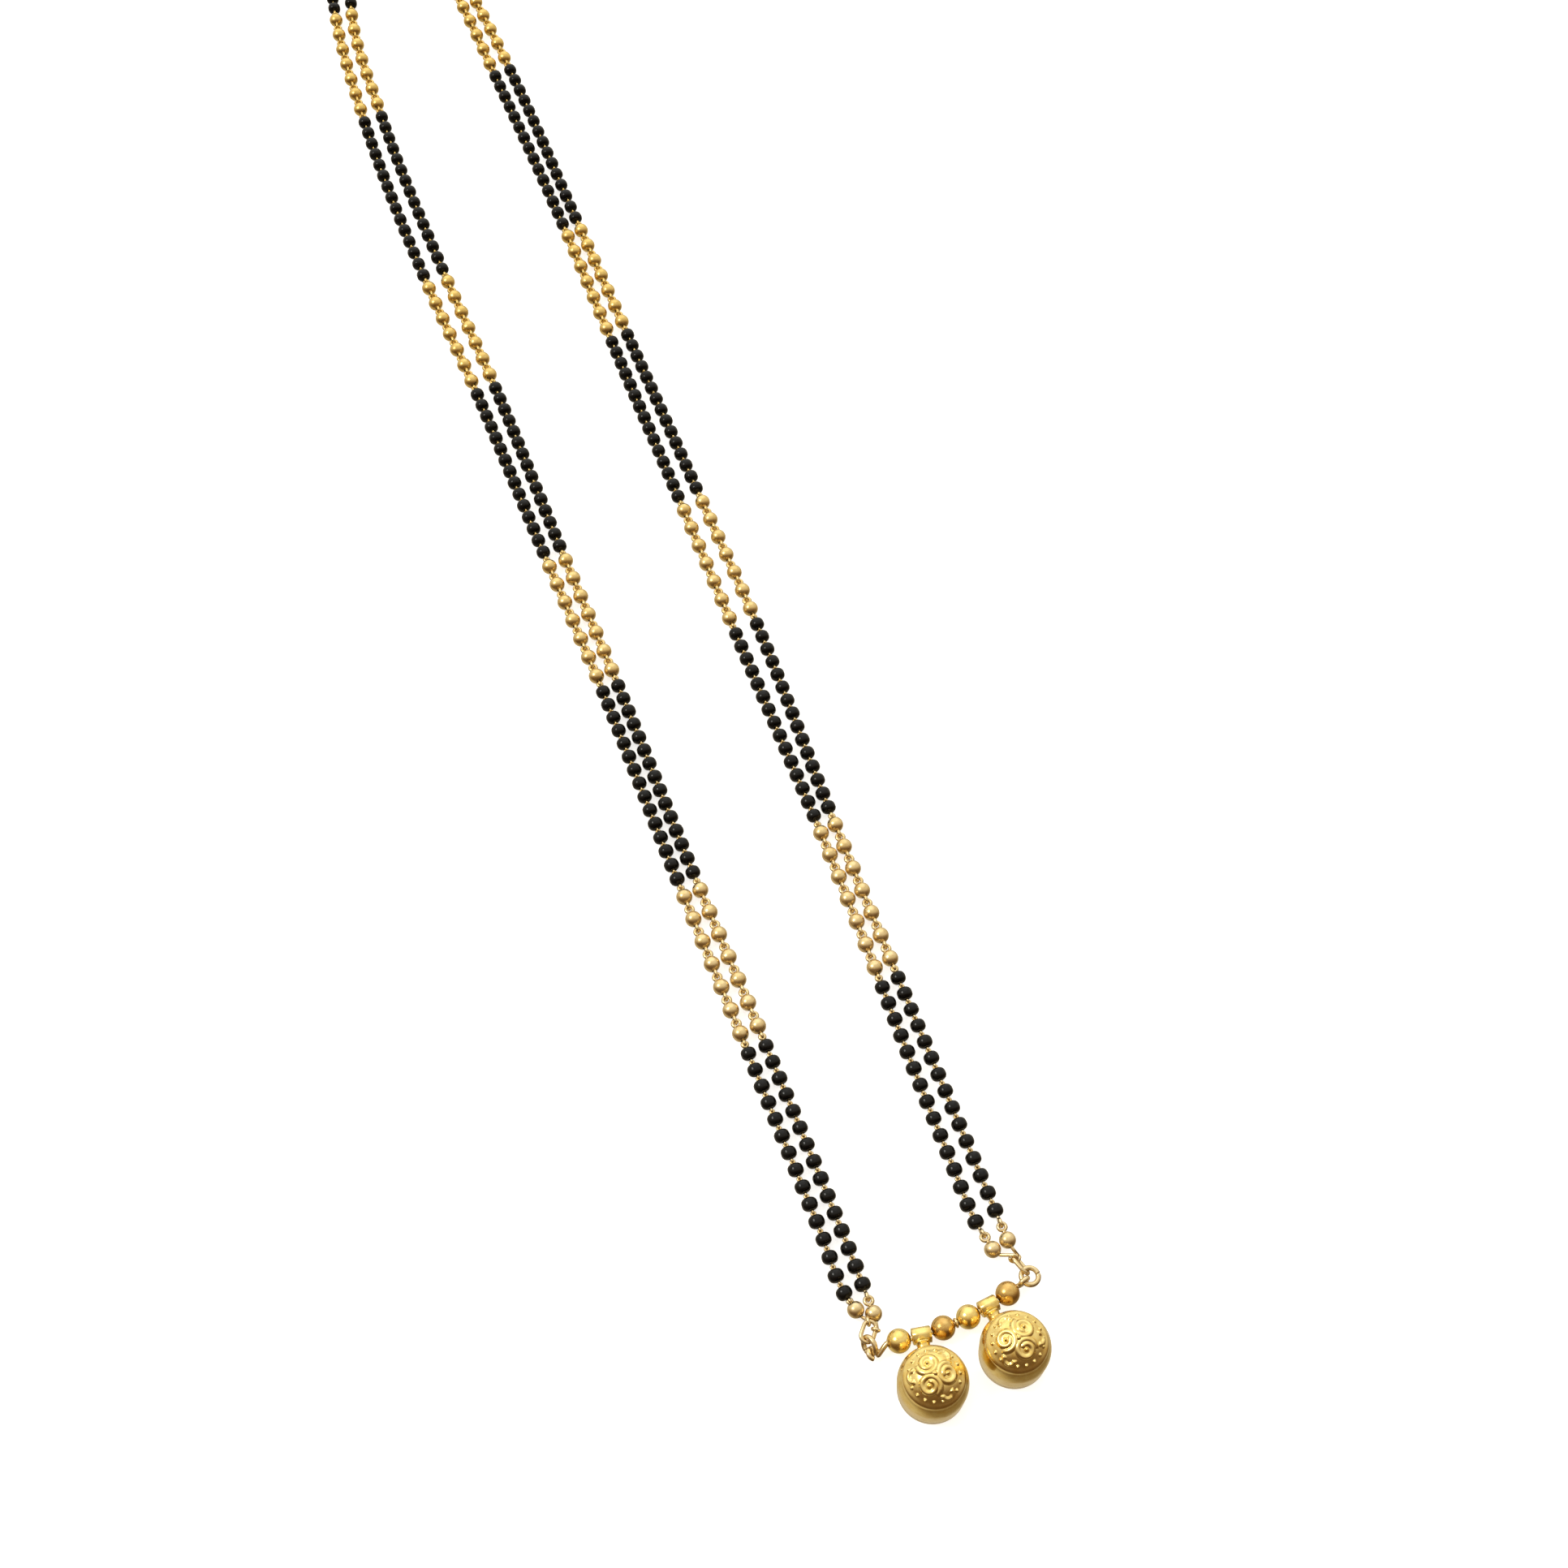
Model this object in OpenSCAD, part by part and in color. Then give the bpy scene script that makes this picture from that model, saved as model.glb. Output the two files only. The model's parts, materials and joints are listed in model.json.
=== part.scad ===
/* [Beads] */
// Diameter of a black bead
black_d = 2.8; // [2.2:0.1:2.9]
// Hole through a black bead
black_bore = 0.8; // [0.7:0.05:1]
// Distance from one black bead to the next, with the links half drawn out
black_pitch = 3.2; // [3:0.05:3.3]
// Diameter of a gold bead in a stretch
gold_d = 3; // [2.4:0.1:3.1]
// Diameter of the gold bead that ends a strand
end_d = 2.9; // [2.4:0.1:3]
// Hole through a gold bead
gold_bore = 1; // [0.9:0.05:1.2]
// Distance from one gold bead to the next, with the links half drawn out
gold_pitch = 4.7; // [4.3:0.05:4.8]
// Diameter of the wire that the beads are strung on
link_wire = 0.44; // [0.4:0.02:0.5]
// Diameter of the eye that ends a strand, to the middle of its wire
link_eye = 1.5; // [1.4:0.05:1.6]

/* [Pendant row] */
// Diameter of a gold ball on the row
ball_d = 4.1; // [3.6:0.1:4.4]
// Hole through a gold ball
ball_bore = 1.2; // [1.1:0.1:1.6]
// Diameter of the wire that carries the row
row_wire = 0.7; // [0.5:0.05:0.7]
// Diameter of the eye at each end of that wire, to the middle of its wire
row_eye = 1.8; // [1.7:0.05:1.9]
// Gap left between neighbours on the row
row_gap = 0.18; // [0.16:0.02:0.3]
// Gap left between the two middle balls
middle_gap = 0.5; // [0.2:0.1:0.8]

/* [Vati] */
// Outer radius of the dome
dome_r = 5.9; // [5.4:0.1:6.2]
// Outer radius of the rim that it rests on
rim_r = 5.7; // [5.2:0.1:6]
// Height of the plain wall under the dome
wall_h = 4.6; // [3.6:0.1:5.4]
// Thickness of the metal
metal_t = 0.8; // [0.6:0.05:1]
// Diameter of the tube that it hangs by, across its corners
tube_d = 2.9; // [2.6:0.1:3.4]
// Length of that tube
tube_l = 3.2; // [2.8:0.1:3.6]
// Hole through that tube
tube_bore = 1.7; // [1.6:0.05:1.8]
// Distance from the dome to the tube
neck_l = 1.1; // [0.6:0.1:1.6]
// Diameter of the neck between them
neck_d = 2.2; // [1.4:0.1:2.4]
// Height that the cast scrolls stand above the dome
relief_h = 0.28; // [0.2:0.02:0.36]
// Radius of a cast grain between the scrolls and the edge
grain_r = 0.34; // [0.2:0.02:0.4]

/* [Rings and clasp] */
// Diameter of a jump ring, to the middle of its wire
ring_d = 2.9; // [2.9:0.05:3.2]
// Diameter of a jump ring's wire
ring_wire = 0.7; // [0.6:0.05:0.7]
// Length of the oval link between a jump ring and its strands, to the middle of its wire
oval_l = 3.5; // [3.4:0.1:4]
// Width of that link, to the middle of its wire
oval_w = 2.1; // [2.1:0.05:2.4]
// Diameter of that link's wire
oval_wire = 0.5; // [0.4:0.05:0.5]
// Diameter of the eye by which a strand holds that link, to the middle of its wire
tip_eye = 1.2; // [1.2:0.05:1.3]
// Diameter of the clasp's barrel
clasp_d = 3; // [2.8:0.1:3.6]
// Diameter of the wire in the clasp's eyes
clasp_wire = 0.6; // [0.5:0.05:0.7]
// Distance from the middle of the clasp to each closing ring
clasp_half = 8.6; // [7.4:0.2:11]
// Length of straight wire between an eye and its strand
stem_l = 0.45; // [0.3:0.05:0.6]

/* [Hidden] */

// Sides of a wire and of a string's tube, and the finish of a round solid
WIRE_SIDES = 6;
TUBE_SIDES = 8;
ROUND = 48;

// The stretches of one strand from the pendants to the clasp. Columns: gold or
// black, beads, and how far its links are drawn out, as a share of the pitch.
BLACK = 0;
GOLD = 1;
END = 2;
STRETCHES = [
    [BLACK, 15, 1.02], [GOLD, 7, 1.024],
    [BLACK, 15, 0.96], [GOLD, 7, 0.98],
    [BLACK, 15, 0.96], [GOLD, 7, 0.98],
    [BLACK, 15, 1.08], [GOLD, 7, 1.06],
    [BLACK, 15, 1.00]];
// The stretches that are made bead by bead, among the black ones
BEADED = 0;
// Rings along the tube that stands for a stretch of black beads
TUBE_RINGS = 5;

// How each strand lies: its end bead first, then its first black bead
LEFT_OUTER_ROUTE = [
    [-14.13, -180.2], [-14.9, -176.9], [-14.8, -167], [-14.9, -150], [-15.1, -129],
    [-15.5, -96], [-15.6, -49], [-16.4, -18], [-17.3, 29], [-18.6, 59],
    [-18.5, 111], [-16.3, 143], [-15, 152], [-13.4, 166], [-11.8, 180], [-10.6, 194]];
LEFT_INNER_ROUTE = [
    [-11.6, -181.85], [-11.5, -176.6], [-11.7, -129], [-12.3, -96], [-12.4, -49],
    [-12.9, -18], [-13.2, 28], [-14.3, 60], [-14.4, 112], [-12.3, 144.6],
    [-11, 151], [-9.8, 165], [-8.4, 180], [-7.4, 194]];
RIGHT_INNER_ROUTE = [
    [11.2, -178.8], [10.4, -173.4], [10.6, -163.6], [11, -147.5], [11.8, -126],
    [12.7, -94], [13, -46], [13.3, -15], [13.6, 32], [14, 65],
    [13.4, 115], [12.8, 141], [11.1, 160], [9, 179], [7.4, 198]];
RIGHT_OUTER_ROUTE = [
    [14.2, -178.2], [14.3, -172.7], [15.1, -126], [15.8, -94], [17.6, -48],
    [17.5, -17], [17.3, 30], [17.2, 63], [17.2, 114], [16.2, 140],
    [14.4, 160], [12.3, 179], [10.4, 198]];

// The routes and the clasp's place are drawn for strands of this length between
// the middles of the first and the last bead
DRAWN_LENGTH = 370.776;

// Moves the routes, so that the origin is under the middle of the whole piece
ROUTE_SHIFT = [0.57, -2.11];

// The row of pendants: its middle, the radius in which its wire bows, and the
// place along x where that bow is level
ROW_MIDDLE = [1.07, -190.36];
ROW_BOW_R = 50;
ROW_BOW_AT = -1.33;
// Direction from each outer ball to its ring, and how each vati has swung
RING_LEFT_ANGLE = 167;
RING_RIGHT_ANGLE = 17;
SWING_LEFT = -10.5;
SWING_RIGHT = 6.5;
// How far the cast scrolls of each vati are turned from its tube
SCROLLS_TURN_LEFT = -3;
SCROLLS_TURN_RIGHT = -80;
// Where the clasp lies, from the first black beads on, and how it is turned
CLASP_DRAWN_AT = [0.57, 200.49];
FIRST_BLACK_Y = -178.9;
CLASP_TURN = 13;

// How each ring lies. Columns: direction of its level axis, and the tilt about
// that axis. An eye's place on a ring is an angle clockwise from that axis.
RING_LEFT_LIE = [100, 63];
RING_RIGHT_LIE = [92, -4];
CLOSING_LIE = [90, 0];
ROW_EYE_LEFT = 188;
ROW_EYE_RIGHT = -107;
RING_LIFT = 0.05;
// How each oval link lies. Columns: the way it points, its slope and its roll;
// and the place on its ring that it holds. The gap is left between ring and link.
OVAL_LEFT_LIE = [50, 3, 187];
OVAL_RIGHT_LIE = [107, -2, 60];
OVAL_LEFT_HOLD = 28;
OVAL_RIGHT_HOLD = -15;
OVAL_GAP = 0.26;

function unit(v) = v / norm(v);
function sum_to(list, n) = n <= 0 ? 0 : list[n - 1] + sum_to(list, n - 1);

// Places along a route, by the distance from its first point
function spans(p) = [for (i = [0 : len(p) - 2]) norm(p[i + 1] - p[i])];
function heading(p, d, i) =
    i == 0 ? unit(p[1] - p[0]) :
    i == len(p) - 1 ? unit(p[i] - p[i - 1]) :
    unit((p[i + 1] - p[i]) * d[i - 1] / d[i] + (p[i] - p[i - 1]) * d[i] / d[i - 1]);
function span_at(d, s, i = 0) =
    i == len(d) - 1 || s < d[i] ? [i, s] : span_at(d, s - d[i], i + 1);
function bend(a, b, u, v, d, t) =
    a * (2 * t^3 - 3 * t^2 + 1) + u * d * (t^3 - 2 * t^2 + t)
    + b * (3 * t^2 - 2 * t^3) + v * d * (t^3 - t^2);
function along(p, s) =
    let (d = spans(p), at = span_at(d, s), i = at[0])
    bend(p[i], p[i + 1], heading(p, d, i), heading(p, d, i + 1), d[i], at[1] / d[i]);
// A bead turns to the way between the points this far before and after it
TURN_STEP = 0.5;
function turn(p, s) =
    let (v = along(p, s + TURN_STEP) - along(p, s - TURN_STEP)) atan2(v.y, v.x);

// Where the beads of a strand sit, from its first black bead
function pitch(row) = (row[0] == GOLD ? gold_pitch : black_pitch) * row[2];
function bead_d(kind) = kind == GOLD ? gold_d : kind == END ? end_d : black_d;
STARTS = [for (j = [0 : len(STRETCHES) - 1])
    sum_to([for (k = [0 : len(STRETCHES) - 2])
        (STRETCHES[k][1] - 0.5) * pitch(STRETCHES[k]) + 0.5 * pitch(STRETCHES[k + 1])], j)];
function bead_place(j, i) = STARTS[j] + i * pitch(STRETCHES[j]);
LAST = len(STRETCHES) - 1;
GROWTH = bead_place(LAST, STRETCHES[LAST][1] - 1) / DRAWN_LENGTH;
// A route from its first black bead on, as long as its beads make it
function grown(y, from) = from + (y - from) * GROWTH;
function laid(p) = [for (i = [0 : len(p) - 1]) i < 2 ? p[i] : [p[i].x, grown(p[i].y, p[1].y)]];
function first_bead(route) = norm(route[1] - route[0]);
function centre(route, kind, s) =
    let (p = along(route, first_bead(route) + s) + ROUTE_SHIFT) [p.x, p.y, bead_d(kind) / 2];

// A tube swept along points: its cross-section turns as little as it can
function ways(p) = [for (i = [0 : len(p) - 1])
    unit(p[min(i + 1, len(p) - 1)] - p[max(i - 1, 0)])];
function across(n, way) = unit(n - (n * way) * way);
function sides_of(t) = [
    for (i = 0, n = across([0.1, 0.2, 1], t[0]); i < len(t);
        i = i + 1, n = i < len(t) ? across(n, t[i]) : n) n];
function swept_points(p, r, sides) =
    let (t = ways(p), n = sides_of(t))
    [for (i = [0 : len(p) - 1], k = [0 : sides - 1])
        let (a = 360 * k / sides)
        p[i] + r * (cos(a) * n[i] + sin(a) * cross(t[i], n[i]))];
function tube_faces(rings, sides, from) = [
    for (i = [0 : rings - 2], k = [0 : sides - 1])
        let (a = from + i * sides, b = a + sides, j = (k + 1) % sides)
        [b + k, b + j, a + j, a + k]];
function flipped(faces) = [for (f = faces) [for (i = [len(f) - 1 : -1 : 0]) f[i]]];

module swept_wire(p, d) {
    n = len(p) * WIRE_SIDES;
    polyhedron(
        points = swept_points(p, d / 2, WIRE_SIDES),
        faces = concat(
            tube_faces(len(p), WIRE_SIDES, 0),
            [[for (k = [0 : WIRE_SIDES - 1]) k]],
            [[for (k = [1 : WIRE_SIDES]) n - k]]));
}

module swept_tube(p, outer_d, inner_d) {
    n = len(p) * TUBE_SIDES;
    last = n - TUBE_SIDES;
    polyhedron(
        points = concat(
            swept_points(p, outer_d / 2, TUBE_SIDES),
            swept_points(p, inner_d / 2, TUBE_SIDES)),
        faces = concat(
            tube_faces(len(p), TUBE_SIDES, 0),
            flipped(tube_faces(len(p), TUBE_SIDES, n)),
            [for (k = [0 : TUBE_SIDES - 1])
                let (j = (k + 1) % TUBE_SIDES) [k, j, n + j, n + k]],
            [for (k = [0 : TUBE_SIDES - 1])
                let (j = (k + 1) % TUBE_SIDES)
                [last + j, last + k, last + n + k, last + n + j]]));
}

// A ring's level axis, its tilted axis and the line through its hole
function ring_axes(lie) =
    let (a = lie[0], t = lie[1],
        u = [cos(a), sin(a), 0],
        v = [sin(a) * cos(t), -cos(a) * cos(t), sin(t)])
    [u, v, cross(u, v)];
function ring_way(lie, angle) =
    let (axes = ring_axes(lie)) cos(angle) * axes[0] + sin(angle) * axes[1];

// The two ends of the hole through a bead
function bead_ends(at, way, d) =
    [for (side = [-1, 1]) at + side * d / 2 * [cos(way), sin(way), 0]];

// An open eye about a ring's wire, and one with a straight stem before it
EYE_FROM = 50;
EYE_STEP = 28;
EYE_STEPS = 10;
function eye_about(c, u, n, eye_d) =
    [for (k = [0 : EYE_STEPS])
        let (a = EYE_FROM + k * EYE_STEP)
        c + eye_d / 2 * (cos(a) * u + sin(a) * n)];
function eye(centre, lie, angle, eye_d) =
    let (u = ring_way(lie, angle))
    eye_about(centre + ring_d / 2 * u, u, ring_axes(lie)[2], eye_d);
function stemmed_eye(centre, lie, angle, eye_d) =
    let (reach = (ring_d + eye_d) / 2 + stem_l)
    concat([centre + reach * ring_way(lie, angle)], eye(centre, lie, angle, eye_d));
function reversed(p) = [for (i = [len(p) - 1 : -1 : 0]) p[i]];

// The row: balls and vati tubes, left to right, with the wire bowing behind
BALL_TO_TUBE = (ball_d + tube_l) / 2 + row_gap;
ROW_STEPS = [BALL_TO_TUBE, BALL_TO_TUBE, ball_d + middle_gap, BALL_TO_TUBE, BALL_TO_TUBE];
ROW_LENGTH = sum_to(ROW_STEPS, len(ROW_STEPS));
ROW_Z = ball_d / 2;
function row_point(x) = [x, ROW_MIDDLE.y + (x - ROW_BOW_AT)^2 / (2 * ROW_BOW_R), ROW_Z];
function row_place(i) = row_point(ROW_MIDDLE.x - ROW_LENGTH / 2 + sum_to(ROW_STEPS, i));
function row_turn(i) = atan((row_place(i).x - ROW_BOW_AT) / ROW_BOW_R);
OUTER_LEFT = 0;
VATI_LEFT = 1;
INNER_LEFT = 2;
INNER_RIGHT = 3;
VATI_RIGHT = 4;
OUTER_RIGHT = 5;
// An outer ball turns its hole by this share of the bend from the row to its ring
RING_SHARE = 0.3;
function ball_turn(i) =
    row_turn(i) + RING_SHARE * (
        i == OUTER_LEFT ? RING_LEFT_ANGLE - 180 - row_turn(i) :
        i == OUTER_RIGHT ? RING_RIGHT_ANGLE - row_turn(i) : 0);

// Where the rings lie: next to the outer balls, and at each end of the clasp
RING_Z = ring_d / 2 * sin(RING_LEFT_LIE[1]) + ring_wire / 2 + RING_LIFT;
CLASP_Z = clasp_d / 2;
RING_REACH = ball_d / 2 + row_gap + row_wire / 2 + row_eye / 2 + ring_d / 2;
function beside(ball, angle) =
    [ball.x + RING_REACH * cos(angle), ball.y + RING_REACH * sin(angle), RING_Z];
RING_LEFT_AT = beside(row_place(OUTER_LEFT), RING_LEFT_ANGLE);
RING_RIGHT_AT = beside(row_place(OUTER_RIGHT), RING_RIGHT_ANGLE);
CLASP_AT = [CLASP_DRAWN_AT.x, grown(CLASP_DRAWN_AT.y, FIRST_BLACK_Y)];
function on_clasp(x) =
    [CLASP_AT.x + x * cos(CLASP_TURN), CLASP_AT.y + x * sin(CLASP_TURN), CLASP_Z];
CLOSING_LEFT_AT = on_clasp(-clasp_half);
CLOSING_RIGHT_AT = on_clasp(clasp_half);

// An oval link's way, the way across it and the line through it, and its first end
function oval_axes(lie) =
    let (way = [cos(lie[0]) * cos(lie[1]), sin(lie[0]) * cos(lie[1]), sin(lie[1])],
        side = [-sin(lie[0]), cos(lie[0]), 0],
        over = cos(lie[2]) * side + sin(lie[2]) * cross(way, side))
    [way, over, cross(way, over)];
function oval_end(ring, ring_lie, hold, lie) =
    ring + ring_d / 2 * ring_way(ring_lie, hold)
    - ((ring_wire + oval_wire) / 2 + OVAL_GAP) * oval_axes(lie)[0];
OVAL_LEFT_AT = oval_end(RING_LEFT_AT, RING_LEFT_LIE, OVAL_LEFT_HOLD, OVAL_LEFT_LIE);
OVAL_RIGHT_AT = oval_end(RING_RIGHT_AT, RING_RIGHT_LIE, OVAL_RIGHT_HOLD, OVAL_RIGHT_LIE);
function tip(at, lie, angle) =
    let (axes = oval_axes(lie), u = cos(angle) * axes[0] + sin(angle) * axes[1])
    eye_about(at + (oval_l - oval_w / 2) * axes[0] + oval_w / 2 * u, u, axes[2], tip_eye);

// A strand: its route, the eye on its oval link and the eye on its closing ring
LEFT_OUTER = [
    laid(LEFT_OUTER_ROUTE),
    tip(OVAL_LEFT_AT, OVAL_LEFT_LIE, -38),
    stemmed_eye(CLOSING_LEFT_AT, CLOSING_LIE, -145, link_eye)];
LEFT_INNER = [
    laid(LEFT_INNER_ROUTE),
    tip(OVAL_LEFT_AT, OVAL_LEFT_LIE, 90),
    stemmed_eye(CLOSING_LEFT_AT, CLOSING_LIE, 160, link_eye)];
RIGHT_INNER = [
    laid(RIGHT_INNER_ROUTE),
    tip(OVAL_RIGHT_AT, OVAL_RIGHT_LIE, 36),
    stemmed_eye(CLOSING_RIGHT_AT, CLOSING_LIE, -165, link_eye)];
RIGHT_OUTER = [
    laid(RIGHT_OUTER_ROUTE),
    tip(OVAL_RIGHT_AT, OVAL_RIGHT_LIE, -54),
    stemmed_eye(CLOSING_RIGHT_AT, CLOSING_LIE, 140, link_eye)];

module bead(d, bore) {
    difference() {
        sphere(d = d, $fn = ROUND);
        cylinder(h = 2 * d, d = bore, center = true, $fn = ROUND);
    }
}

module strung_bead(route, kind, s) {
    translate(centre(route, kind, s))
        rotate([0, 90, turn(route, first_bead(route) + s)])
            bead(bead_d(kind), kind == GOLD ? gold_bore : black_bore);
}

module stretch_of_beads(strand, j) {
    kind = STRETCHES[j][0];
    for (i = [0 : STRETCHES[j][1] - 1])
        strung_bead(strand[0], kind, bead_place(j, i));
}

// The bead that ends a strand. Its hole is halfway between the wire from the
// strand's eye and the wire to the first black bead.
function end_bead(strand) = centre(strand[0], END, -first_bead(strand[0]));
function end_turn(strand) =
    let (at = end_bead(strand),
        v = unit(at - strand[1][0]) + unit(centre(strand[0], BLACK, 0) - at))
    atan2(v.y, v.x);

module gold_beads(strand) {
    color("goldenrod") {
        translate(end_bead(strand)) rotate([0, 90, end_turn(strand)]) bead(end_d, gold_bore);
        for (j = [0 : len(STRETCHES) - 1])
            if (STRETCHES[j][0] == GOLD) stretch_of_beads(strand, j);
    }
}

module black_beads(strand) {
    color("black") stretch_of_beads(strand, BEADED);
}

// Points along the tube of one stretch, from the front of its first bead
function string_points(route, j) =
    let (from = bead_place(j, 0) - black_d / 2,
        to = bead_place(j, STRETCHES[j][1] - 1) + black_d / 2)
    [for (i = [0 : TUBE_RINGS - 1])
        centre(route, BLACK, from + (to - from) * i / (TUBE_RINGS - 1))];

module black_string(strand) {
    color("black")
        for (j = [0 : len(STRETCHES) - 1])
            if (STRETCHES[j][0] == BLACK && j != BEADED)
                swept_tube(string_points(strand[0], j), black_d, black_bore);
}

// The wire runs straight through the end bead and the first black bead, and
// then follows the middle of each bead and each tube
function wire_points(route, j) =
    STRETCHES[j][0] == BLACK && j != BEADED ? string_points(route, j) :
    [for (i = [j == BEADED ? 1 : 0 : STRETCHES[j][1] - 1])
        centre(route, STRETCHES[j][0], bead_place(j, i))];

module strand_wire(strand) {
    route = strand[0];
    color("darkgoldenrod")
        swept_wire(concat(
            reversed(strand[1]),
            bead_ends(end_bead(strand), end_turn(strand), end_d),
            bead_ends(centre(route, BLACK, 0), turn(route, first_bead(route)), black_d),
            [for (j = [0 : len(STRETCHES) - 1]) each wire_points(route, j)],
            strand[2]), link_wire);
}

module ball(i) {
    color("gold") translate(row_place(i)) rotate([0, 90, ball_turn(i)]) bead(ball_d, ball_bore);
}

// The row's wire runs straight through each ball, and on into its rings' eyes
function row_points(i) =
    i == VATI_LEFT || i == VATI_RIGHT ? [row_place(i)] :
    bead_ends(row_place(i), ball_turn(i), ball_d);

module row_wire() {
    color("darkgoldenrod")
        swept_wire(concat(
            reversed(eye(RING_LEFT_AT, RING_LEFT_LIE, ROW_EYE_LEFT, row_eye)),
            [for (i = [0 : len(ROW_STEPS)]) each row_points(i)],
            eye(RING_RIGHT_AT, RING_RIGHT_LIE, ROW_EYE_RIGHT, row_eye)), row_wire);
}

module jump_ring(at, lie) {
    color("goldenrod")
        translate(at)
            rotate([0, 0, lie[0]])
                rotate([-lie[1], 0, 0])
                    rotate_extrude($fn = ROUND)
                        translate([ring_d / 2, 0]) circle(d = ring_wire, $fn = ROUND);
}

module oval_link(at, lie) {
    color("goldenrod")
        translate(at)
            rotate([0, -lie[1], lie[0]])
                rotate([lie[2], 0, 0]) {
                    for (end = [[oval_w / 2, 90], [oval_l - oval_w / 2, -90]])
                        translate([end[0], 0, 0])
                            rotate([0, 0, end[1]])
                                rotate_extrude(angle = 180, $fn = ROUND)
                                    translate([oval_w / 2, 0])
                                        circle(d = oval_wire, $fn = ROUND);
                    for (side = [-1, 1])
                        translate([oval_w / 2, side * oval_w / 2, 0])
                            rotate([0, 90, 0])
                                cylinder(h = oval_l - oval_w, d = oval_wire, $fn = ROUND);
                }
}

module clasp() {
    eye_x = clasp_half - ring_d / 2;
    eye_r = (link_eye + clasp_wire) / 2 - link_wire / 2;
    color("goldenrod")
        translate([CLASP_AT.x, CLASP_AT.y, CLASP_Z])
            rotate([0, 0, CLASP_TURN]) {
                rotate([0, 90, 0])
                    cylinder(h = 2 * (eye_x - eye_r), d = clasp_d, center = true, $fn = ROUND);
                for (side = [-1, 1])
                    translate([side * eye_x, 0, 0])
                        rotate([90, 0, 0])
                            rotate_extrude($fn = ROUND)
                                translate([eye_r, 0]) circle(d = clasp_wire, $fn = ROUND);
            }
}

// A vati: a hollow dome on a plain wall, open below, with its tube behind
TUBE_FACETS = 8;
TUBE_Y = dome_r + neck_l + tube_d / 2;

module vati_half(shrink) {
    intersection() {
        translate([0, wall_h]) circle(r = dome_r - shrink, $fn = 2 * ROUND);
        translate([0, wall_h]) square(2 * dome_r);
    }
    polygon([[0, 0], [rim_r - shrink, 0], [dome_r - shrink, wall_h], [0, wall_h]]);
}

// A circle on the dome about a point of it, or a part of one
module scroll(polar, azimuth, r, from, sweep) {
    translate([0, 0, wall_h])
        rotate([0, polar, azimuth])
            translate([0, 0, sqrt(dome_r^2 - r^2)])
                rotate([0, 0, from])
                    rotate_extrude(angle = sweep, $fn = 2 * ROUND)
                        translate([r, 0]) circle(r = relief_h, $fn = ROUND);
}

module grain(polar, azimuth) {
    translate([0, 0, wall_h])
        rotate([0, polar, azimuth])
            translate([0, 0, dome_r])
                sphere(r = grain_r, $fn = ROUND);
}

// The cast scrolls. Columns: angle down from the dome's top, azimuth, radius,
// where the circle starts, and how far round it goes.
SCROLLS = [
    [21, 238, 1.6, 60, 300], [21, 238, 0.8, 0, 360],
    [21, 358, 1.6, 60, 300], [21, 358, 0.8, 0, 360],
    [21, 118, 1.6, 60, 300], [21, 118, 0.8, 0, 360],
    [37, 178, 0.9, -110, 220], [37, 298, 0.9, -110, 220], [37, 58, 0.9, -110, 220]];
// Single grains: one at the top, and one in each open scroll
SINGLE_GRAINS = [[0, 0], [37, 178], [37, 298], [37, 58]];
// The ring of grains and the raised edge below it
GRAINS = 18;
GRAINS_AT = 45;
EDGE_AT = 56;

module relief() {
    for (row = SCROLLS) scroll(row[0], row[1], row[2], row[3], row[4]);
    for (row = SINGLE_GRAINS) grain(row[0], row[1]);
    for (i = [0 : GRAINS - 1]) grain(GRAINS_AT, 360 * i / GRAINS);
    scroll(0, 0, dome_r * sin(EDGE_AT), 0, 360);
}

module vati_body(scrolls_turn) {
    difference() {
        union() {
            rotate_extrude($fn = 2 * ROUND) vati_half(0);
            rotate([0, 0, scrolls_turn]) relief();
            translate([0, dome_r - metal_t / 2, ROW_Z])
                rotate([-90, 0, 0])
                    cylinder(h = neck_l + metal_t / 2 + tube_d / 4, d = neck_d, $fn = ROUND);
            translate([0, TUBE_Y, ROW_Z])
                rotate([0, 90, 0])
                    cylinder(h = tube_l, d = tube_d, center = true, $fn = TUBE_FACETS);
        }
        rotate_extrude($fn = 2 * ROUND) vati_half(metal_t);
        translate([0, TUBE_Y, ROW_Z])
            rotate([0, 90, 0])
                cylinder(h = 2 * tube_l, d = tube_bore, center = true, $fn = ROUND);
    }
}

module vati(i, swing, scrolls_turn) {
    at = row_place(i);
    color("gold")
        translate([at.x, at.y, 0])
            rotate([0, 0, swing])
                translate([0, -TUBE_Y, 0])
                    vati_body(scrolls_turn);
}

vati(VATI_LEFT, SWING_LEFT, SCROLLS_TURN_LEFT);  // vati_left
vati(VATI_RIGHT, SWING_RIGHT, SCROLLS_TURN_RIGHT);  // vati_right
ball(OUTER_LEFT);  // ball_outer_left
ball(INNER_LEFT);  // ball_inner_left
ball(INNER_RIGHT);  // ball_inner_right
ball(OUTER_RIGHT);  // ball_outer_right
row_wire();
jump_ring(RING_LEFT_AT, RING_LEFT_LIE);  // ring_left
jump_ring(RING_RIGHT_AT, RING_RIGHT_LIE);  // ring_right
oval_link(OVAL_LEFT_AT, OVAL_LEFT_LIE);  // oval_link_left
oval_link(OVAL_RIGHT_AT, OVAL_RIGHT_LIE);  // oval_link_right
gold_beads(LEFT_OUTER);  // gold_beads_left_outer
gold_beads(LEFT_INNER);  // gold_beads_left_inner
gold_beads(RIGHT_INNER);  // gold_beads_right_inner
gold_beads(RIGHT_OUTER);  // gold_beads_right_outer
black_beads(LEFT_OUTER);  // black_beads_left_outer
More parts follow.
